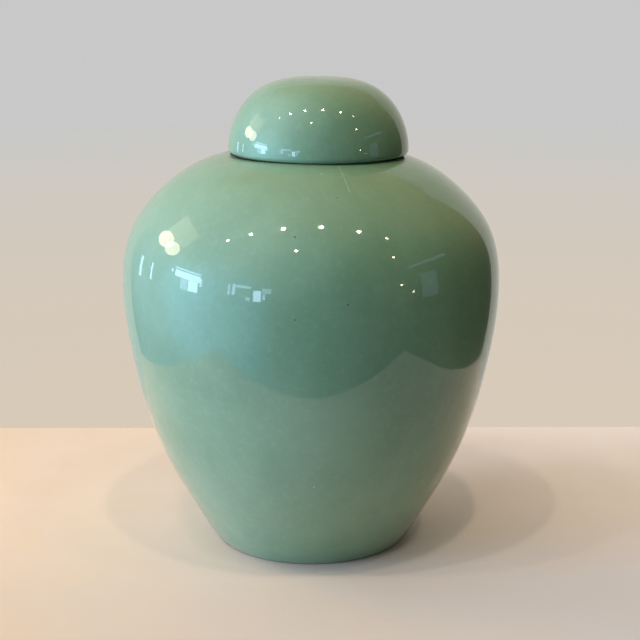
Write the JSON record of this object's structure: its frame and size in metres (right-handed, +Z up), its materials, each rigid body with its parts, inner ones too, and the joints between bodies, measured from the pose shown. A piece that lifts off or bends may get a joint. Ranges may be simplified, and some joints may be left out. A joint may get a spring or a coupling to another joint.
{
  "type": "ginger jar",
  "caption": "Round-shouldered ceramic jar with a short upright neck hidden under a loose domed lid, standing on a plain foot ring.",
  "frame": {"origin": "centre of the foot ring, on the plane that the jar stands on", "axes": "+Z up along the jar's axis; the lid sits a little off-centre towards +X; the jar looks the same from every side, and the picture's view is along +Y"},
  "size_m": [0.201, 0.201, 0.25],
  "materials": {
    "celadon_glaze": "glossy pale green celadon glaze, finely mottled with a few iron specks"
  },
  "bodies": {
    "jar": {"jar": "celadon_glaze"},
    "lid": {"lid": "celadon_glaze"}
  },
  "joints": [
    {"name": "lid_lift", "type": "slide", "parent": "jar", "child": "lid", "axis": [0, 0, 1], "range_m": [0, 0.08]}
  ]
}
